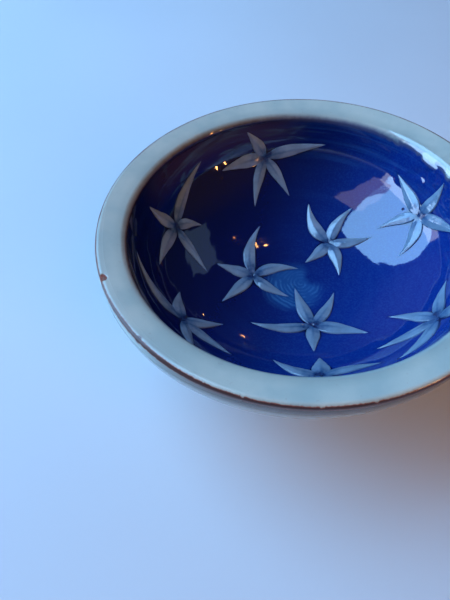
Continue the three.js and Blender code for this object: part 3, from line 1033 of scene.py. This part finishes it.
class PetalTree(Tree):
    """Geometry Nodes that lay a leaf-shaped petal on the seat for each point that carries its sizes"""

    def __init__(self, group):
        super().__init__(group)
        group.interface.new_socket("Geometry", in_out="INPUT", socket_type="NodeSocketGeometry")
        for name, kind in PETAL_INPUTS.items():
            group.interface.new_socket(name, in_out="INPUT", socket_type=kind)
        group.interface.new_socket("Geometry", in_out="OUTPUT", socket_type="NodeSocketGeometry")
        self.given = self.add("NodeGroupInput").outputs
        strips = self.marked_strips()
        self.along, self.side, self.lift = (self.carried(name) for name in ("along", "across", "lift"))
        self.fullness = self.outline()
        place, normal = self.seated()
        place = self.vector("ADD", place, self.scaled(normal, self.height()))
        self.close_up(strips, place)

    def wire(self, kind, feeds, **settings):
        """A node whose inputs are fed by name"""
        node = self.add(kind, **settings)
        for name, value in feeds.items():
            self.feed(next(s for s in node.inputs if s.name == name and s.enabled), value)
        return node

    def carried(self, name, kind="FLOAT"):
        """A value that the points or the strips carry"""
        return self.result(self.add("GeometryNodeInputNamedAttribute", name, data_type=kind))

    def store(self, geometry, name, value):
        feeds = {"Geometry": geometry, "Name": name, "Value": value}
        settings = {"data_type": "FLOAT", "domain": "POINT"}
        return self.wire("GeometryNodeStoreNamedAttribute", feeds, **settings).outputs[0]

    def scaled(self, vector, amount):
        node = self.add("ShaderNodeVectorMath", operation="SCALE")
        self.feed(node.inputs[0], vector)
        self.feed(node.inputs["Scale"], amount)
        return node.outputs[0]

    def marked_strips(self):
        """One flat strip for each petal, marked along it and around the tube that it becomes"""
        steps = (self.given["Steps along"], self.given["Steps around"])
        strip = self.add("GeometryNodeMeshGrid", 1.0, 1.0, *steps).outputs[0]
        feeds = {"Points": self.given["Geometry"], "Instance": strip}
        copies = self.wire("GeometryNodeInstanceOnPoints", feeds).outputs[0]
        strips = self.add("GeometryNodeRealizeInstances", copies).outputs[0]
        x, y, _ = self.split(self.add("GeometryNodeInputPosition").outputs[0])
        turn = (y + 0.5) * (2 * math.pi)
        strips = self.store(strips, "along", x + 0.5)
        strips = self.store(strips, "across", self.maths("COSINE", turn))
        return self.store(strips, "lift", self.maths("SINE", turn))

    def outline(self):
        """Share of the petal's full width at each point along it"""
        node = self.add("ShaderNodeFloatCurve", 1.0, self.along)
        curve = node.mapping.curves[0]
        while len(curve.points) < len(PETAL_OUTLINE):
            curve.points.new(0.5, 0.5)
        for point, place in zip(curve.points, PETAL_OUTLINE):
            point.location = place
            point.handle_type = "AUTO_CLAMPED"
        node.mapping.update()
        return self.result(node)

    def seated(self):
        """Each point's place on the seat and the seat's normal there"""
        half = self.carried("width") * self.fullness * 0.5
        bow = self.carried("bow") * (self.along * (1.0 - self.along)) * 4.0
        aside = self.side * half + bow
        forward = self.along * self.carried("reach") - HUB_OVERLAP
        sine = self.maths("SINE", self.carried("direction"))
        cosine = self.maths("COSINE", self.carried("direction"))
        hub, uphill, around, square = (
            self.carried(name, "FLOAT_VECTOR") for name in ("hub", "uphill", "around", "square")
        )
        start = self.vector("ADD", hub, self.scaled(uphill, forward * cosine - aside * sine))
        start = self.vector("ADD", start, self.scaled(around, forward * sine + aside * cosine))
        start = self.vector("ADD", start, self.scaled(square, DROP_HEIGHT))
        feeds = {
            "Target Geometry": self.add("GeometryNodeObjectInfo", self.given["Seat"]).outputs["Geometry"],
            "Attribute": self.carried("seat_normal", "FLOAT_VECTOR"),
            "Source Position": start,
            "Ray Direction": self.scaled(square, -1.0),
            "Ray Length": DROP_LENGTH,
        }
        ray = self.wire("GeometryNodeRaycast", feeds, data_type="FLOAT_VECTOR").outputs
        normal = next(s for s in ray if s.name == "Attribute" and s.enabled)
        return ray["Hit Position"], self.vector("NORMALIZE", normal)

    def height(self):
        """How far each point stands off the seat: a raised outline and a ridge down the middle"""
        rise, edge, sink = (Number(self, self.given[name]) for name in ("Rise", "Edge", "Sink"))
        from_rib = self.maths("SQRT", self.side * self.side + 0.012)
        crest = self.maths("MAXIMUM", 1.1 - from_rib, 0.0)
        body = self.maths("POWER", self.fullness, 0.8) * self.between(self.along, 0.05, 0.3)
        ridge = (rise - edge) * (crest * body)
        border = self.between(self.lift, 0.0, 0.45) * self.between(self.fullness, 0.0, 0.6, 0.3, 1.0)
        return (edge + sink) * border + ridge * self.between(self.lift, 0.0, 0.3) - sink

    def close_up(self, strips, place):
        """Moves the strips, closes them into tubes and gives them their material"""
        moved = self.wire("GeometryNodeSetPosition", {"Geometry": strips, "Position": place}).outputs[0]
        feeds = {"Geometry": moved, "Distance": WELD_DISTANCE}
        petals = self.wire("GeometryNodeMergeByDistance", feeds).outputs[0]
        for kind in ("GeometryNodeSetShadeSmooth", "GeometryNodeFlipFaces", "GeometryNodeRealizeInstances"):
            petals = self.add(kind, petals).outputs[0]
        feeds = {"Geometry": petals, "Material": self.given["Material"]}
        self.add("NodeGroupOutput", self.wire("GeometryNodeSetMaterial", feeds).outputs[0])


def petal_group():
    """The petals' tree, made once"""
    group = bpy.data.node_groups.get("star_petals")
    if group is None:
        group = bpy.data.node_groups.new("star_petals", "GeometryNodeTree")
        PetalTree(group)
    return group


def made_by_nodes(holder, group, values, name):
    """Runs a Geometry Nodes tree on an object and returns its result as a plain mesh object"""
    modifier = holder.modifiers.new("nodes", "NODES")
    modifier.node_group = group
    for item in group.interface.items_tree:
        if item.item_type == "SOCKET" and item.in_out == "INPUT" and item.name in values:
            modifier[item.identifier] = values[item.name]
    bpy.context.view_layer.update()
    evaluated = holder.evaluated_get(bpy.context.evaluated_depsgraph_get())
    mesh = bpy.data.meshes.new_from_object(evaluated)
    mesh.name = name
    bpy.data.objects.remove(holder)
    return link(name, mesh)


# Operators

class STARBOWL_OT_stars(bpy.types.Operator):
    """Makes the nine stars of raised slip and seats them in the well"""

    bl_idname = "starbowl.stars"
    bl_label = "Stars"

    def execute(self, context):
        size = sizes()
        section = Section()
        seat = star_seat(section)
        material = slip_material()
        values = {
            "Seat": seat,
            "Rise": size.star_rise,
            "Edge": size.star_edge,
            "Sink": size.star_sink,
            "Steps along": 44,
            "Steps around": 37,
            "Material": material,
        }
        for node in STAR_HUBS:
            piece = made_by_nodes(petal_points(node, section), petal_group(), values, node + "_relief")
            dress(piece, material, node)
        bpy.data.objects.remove(seat)
        return {"FINISHED"}


class STARBOWL_OT_well(bpy.types.Operator):
    """Makes the cobalt coat of the well, darker where it pools round the stars"""

    bl_idname = "starbowl.well"
    bl_label = "Well glaze"

    def execute(self, context):
        bowl = GlazedBowl()
        piece = bowl.coat_piece("well_coat", "well", "well", 12)
        points = mesh_points(piece.data)
        stars = [bpy.data.objects[node + "_relief"] for node in STAR_HUBS]
        star_points = np.concatenate([mesh_points(star.data) for star in stars])
        tree = kdtree.KDTree(len(star_points))
        for i, point in enumerate(star_points):
            tree.insert(point, i)
        tree.balance()
        store_mark(piece.data, "near_star", [tree.find(point)[2] / MM for point in points])
        hubs = [np.array(well_frame(bowl.section, *place)[0]) for place in STAR_HUBS.values()]
        near_hub = np.min([np.linalg.norm(points - hub, axis=1) for hub in hubs], axis=0)
        store_mark(piece.data, "near_hub", near_hub / MM)
        dress(piece, glaze_material("cobalt_glaze"), "well_glaze")
        return {"FINISHED"}


class STARBOWL_OT_rim(bpy.types.Operator):
    """Makes the pale coat of the rim, the iron line on its arris and the pale coat of the outside"""

    bl_idname = "starbowl.rim"
    bl_label = "Rim, line and wall glaze"

    def execute(self, context):
        bowl = GlazedBowl()
        pale = glaze_material("celadon_glaze")
        for name, first, last, node, slot, material in (
            ("rim_coat", "edge", "arris_top", "rim_glaze", "celadon_glaze", pale),
            ("iron_stroke", "iron", "iron", "rim_line", "iron_line", glaze_material("iron_line", 1.4)),
            ("wall_coat", "arris_foot", "wall", "wall_glaze", "celadon_glaze", pale),
        ):
            piece = bowl.coat_piece(name, first, last, 8)
            for mark in ("near_star", "near_hub"):
                store_mark(piece.data, mark, [FAR_FROM_STARS] * len(piece.data.vertices))
            dress(piece, material, node)
        return {"FINISHED"}


def rounded(corners, steps=8):
    """A section through corners given as (r, z, rounding)"""
    line = []
    for i, (r, z, rounding) in enumerate(corners):
        here = Vector((r, z))
        if rounding == 0:
            line.append(here)
            continue
        before = (Vector(corners[i - 1][:2]) - here).normalized()
        after = (Vector(corners[(i + 1) % len(corners)][:2]) - here).normalized()
        start, end = here + before * rounding, here + after * rounding
        for k in range(steps + 1):
            t = k / steps
            line.append(start * (1 - t) ** 2 + here * 2 * t * (1 - t) + end * t**2)
    return np.array([tuple(point) for point in line])


def clay_piece(name, line, turns):
    """A turned clay piece with trimming marks, from a closed section that runs anticlockwise"""
    size = sizes()
    grid = turned_grid(line, turns)
    spread = turned_grid(left_normals(line), turns)
    along = distances(line)[:, None]
    marks = np.sin(along / size.trimming_pitch * 2 * math.pi + turns[None]) * size.trimming
    grid = grid + spread * marks[..., None]
    return closed_skin(name, grid, grid_normals(grid), {})


class STARBOWL_OT_clay(bpy.types.Operator):
    """Makes the thrown clay body and its trimmed foot ring"""

    bl_idname = "starbowl.clay"
    bl_label = "Clay body and foot ring"

    def execute(self, context):
        bowl = GlazedBowl()
        outer = bowl.section.foot_radius
        inner = outer - sizes().foot_wall
        material = clay_material()
        turns = np.linspace(0, 2 * math.pi, 360, endpoint=False)
        body = clay_piece("thrown_body", self.body_line(bowl, inner), turns)
        dress(body, material, "clay_body")
        ring = clay_piece("trimmed_foot", self.foot_line(outer, inner, bowl.section.foot_height), turns)
        dress(ring, material, "foot_ring")
        return {"FINISHED"}

    def body_line(self, bowl, inner):
        """Under the glaze from the middle of the well to the bare band, then in to the underside's dome"""
        coat = sizes().coat
        section = bowl.section
        under_glaze = (bowl.line - bowl.normals_2d * coat)[::6]
        under_glaze[0, 0] = 0
        root = section.wall.turn_at_radius(section.foot_radius)
        band = section.wall.points(np.linspace(section.bare_turn, root, 16))
        band = (band - left_normals(band) * coat)[1:]
        underside = section.foot_height
        base = [[band[-1][0], underside], [inner, underside]]
        recess = np.linspace(inner, 0, 60)
        dome_rise = 0.4 * MM
        dome = underside + dome_rise * (1 - (recess / inner) ** 2)
        return np.concatenate([under_glaze, band, base, np.stack([recess, dome], -1)[1:]])

    def foot_line(self, outer, inner, height):
        """The foot ring, tapered a little on both sides and rounded where it stands"""
        outer_taper, inner_taper, rounding = 0.2 * MM, 0.5 * MM, 0.9 * MM
        foot = rounded([
            (outer, height, 0),
            (outer - outer_taper, 0, rounding),
            (inner + inner_taper, 0, rounding),
            (inner, height, 0),
        ])
        return spaced(np.concatenate([foot, foot[:1]]), 120)[:-1]


class STARBOWL_OT_stage(bpy.types.Operator):
    """Makes the plain floor, the lamps, the room that reflections show and the camera"""

    bl_idname = "starbowl.stage"
    bl_label = "Floor, lamps and camera"

    def execute(self, context):
        stage = context.scene.star_bowl_stage
        self.make_floor(stage)
        self.make_world(context.scene, stage)
        self.make_lamps(stage)
        self.make_camera(context.scene, stage)
        return {"FINISHED"}

    def make_floor(self, stage):
        mesh = bpy.data.meshes.new("floor")
        half, level = 4.0, -0.05 * MM
        corners = [(-half, -half, level), (half, -half, level), (half, half, level), (-half, half, level)]
        mesh.from_pydata(corners, [], [(0, 1, 2, 3)])
        floor = link("floor", mesh)
        material, tree = new_material("floor_paint")
        place = Place(tree)
        cloud = tree.between(place.noise(0.004, 2), 0.3, 0.7)
        near = tree.add("ShaderNodeBsdfDiffuse", tree.mix(cloud, stage.floor, darker(stage.floor, 0.93)))
        far = tree.add("ShaderNodeEmission", opaque(stage.backdrop), 1.0)
        path = tree.add("ShaderNodeLightPath").outputs
        seen = tree.maths("MAXIMUM", path["Is Camera Ray"], path["Is Glossy Ray"])
        seen = tree.maths("MAXIMUM", seen, path["Is Transmission Ray"])
        surface = tree.add("ShaderNodeMixShader", tree.between(place.out, 230.0, 800.0) * seen)
        tree.feed(surface.inputs[1], near.outputs[0])
        tree.feed(surface.inputs[2], far.outputs[0])
        tree.add("ShaderNodeOutputMaterial", surface.outputs[0])
        mesh.materials.append(material)

    def make_world(self, scene, stage):
        """Pale where it is seen, and in reflections pale at the horizon, dim above and warm to one side"""
        world = bpy.data.worlds.new("studio")
        world.use_nodes = True
        world.node_tree.nodes.clear()
        tree = Tree(world.node_tree)
        direction = tree.add("ShaderNodeTexCoord").outputs["Generated"]
        warm = tree.between(tree.vector("DOT_PRODUCT", direction, WARM_SIDE), 0.55, 0.96)
        haze = tree.between(tree.vector("DOT_PRODUCT", direction, HAZY_SIDE), 0.86, 0.98)
        room = tree.mix(haze, tree.mix(warm, stage.room, stage.warm_room), stage.hazy_room)
        path = tree.add("ShaderNodeLightPath").outputs
        low = tree.between(tree.split(direction)[2], 0.06, 0.26, 1.0, 0.0) * (1.0 - warm)
        low = low * tree.between(path["Is Glossy Ray"], 0.0, 1.0, 0.06, 1.0)
        seen = tree.maths("MAXIMUM", path["Is Camera Ray"], path["Is Transmission Ray"])
        sky = tree.mix(seen, tree.mix(low, room, stage.backdrop), stage.backdrop)
        tree.add("ShaderNodeOutputWorld", tree.add("ShaderNodeBackground", sky, 1.0).outputs[0])
        scene.world = world

    def make_lamps(self, stage):
        aimed_lamp(
            "window", WINDOW, (1.72, 0.76), 25.0, stage.window, (0.32, 0.06), WINDOW_ROLL, shape="ELLIPSE"
        )
        aimed_lamp("window_frame", WINDOW, (0.86, 0.29), 0.75, stage.frame, (0.19, 0.475), WINDOW_ROLL)
        aimed_lamp("warm_fill", (-50, 42), (0.8, 0.8), 3.2, stage.warm, glossy=False)
        aimed_lamp("slate_card", (47, 46), (0.40, 0.26), 0.16, stage.slate)
        aimed_lamp("lilac_card", (186, 17), (0.85, 0.38), 2.8, stage.lilac, diffuse=False)
        for name, direction in TALL_BULBS.items():
            aimed_lamp(name, direction, (0.004, 0.11), 0.4, stage.bulb)
        for number, (direction, width) in enumerate(SMALL_BULBS):
            power = BULB_STRENGTH * width**2
            aimed_lamp(f"small_bulb_{number}", direction, (width, width), power, stage.bulb)

    def make_camera(self, scene, stage):
        data = bpy.data.cameras.new("camera")
        data.lens = stage.lens
        data.sensor_width = 36
        data.clip_start = 0.01
        camera = link("camera", data)
        heading = Vector(stage.camera_heading).normalized()
        right = heading.cross(Vector(stage.camera_up)).normalized()
        up = right.cross(heading)
        turn = Matrix((right, up, -heading)).transposed().to_4x4()
        camera.matrix_world = Matrix.Translation(stage.camera_place) @ turn
        scene.camera = camera
        scene.view_settings.view_transform = "Standard"


def aimed_lamp(
    name, direction, size, power, tint, slide=(0, 0), roll=0, shape="RECTANGLE", glossy=True, diffuse=True
):
    """A flat lamp that faces the well's lit side from its direction, slid and rolled in its own plane"""
    bearing, height = (math.radians(angle) for angle in direction)
    level = math.cos(height)
    outward = Vector((math.cos(bearing) * level, math.sin(bearing) * level, math.sin(height)))
    data = bpy.data.lights.new(name, "AREA")
    data.shape = shape
    data.size, data.size_y = size
    data.energy = power
    data.color = tint
    lamp = link(name, data)
    lamp.rotation_mode = "QUATERNION"
    turn = outward.to_track_quat("Z", "Y") @ Quaternion((0, 0, 1), roll)
    lamp.rotation_quaternion = turn
    lamp.location = LAMP_AIM + outward * LAMP_DISTANCE + turn @ Vector((*slide, 0))
    lamp.visible_camera = False
    lamp.visible_glossy = glossy
    lamp.visible_diffuse = diffuse
    return lamp


class STARBOWL_PT_panel(bpy.types.Panel):
    """Lists the bowl's sizes and colours and the operators that make it"""

    bl_idname = "STARBOWL_PT_panel"
    bl_label = "Star Bowl"
    bl_space_type = "VIEW_3D"
    bl_region_type = "UI"
    bl_category = "Star Bowl"

    def draw(self, context):
        for place in GROUPS:
            group = getattr(context.scene, place)
            box = self.layout.box()
            for name in group.__annotations__:
                box.prop(group, name)
        for operator in OPERATORS:
            self.layout.operator(operator.bl_idname)


OPERATORS = (STARBOWL_OT_stage, STARBOWL_OT_stars, STARBOWL_OT_well, STARBOWL_OT_rim, STARBOWL_OT_clay)
GROUPS = {
    "star_bowl_sizes": StarBowlSizes,
    "star_bowl_colours": StarBowlColours,
    "star_bowl_stage": StarBowlStage,
}


def register():
    for entry in (*GROUPS.values(), *OPERATORS, STARBOWL_PT_panel):
        bpy.utils.register_class(entry)
    for name, group in GROUPS.items():
        setattr(bpy.types.Scene, name, PointerProperty(type=group))


def unregister():
    for name in GROUPS:
        delattr(bpy.types.Scene, name)
    for entry in reversed((*GROUPS.values(), *OPERATORS, STARBOWL_PT_panel)):
        bpy.utils.unregister_class(entry)


def main():
    register()
    bpy.ops.starbowl.stage()
    bpy.ops.starbowl.stars()
    bpy.ops.starbowl.well()
    bpy.ops.starbowl.rim()
    bpy.ops.starbowl.clay()


if __name__ == "__main__":
    main()
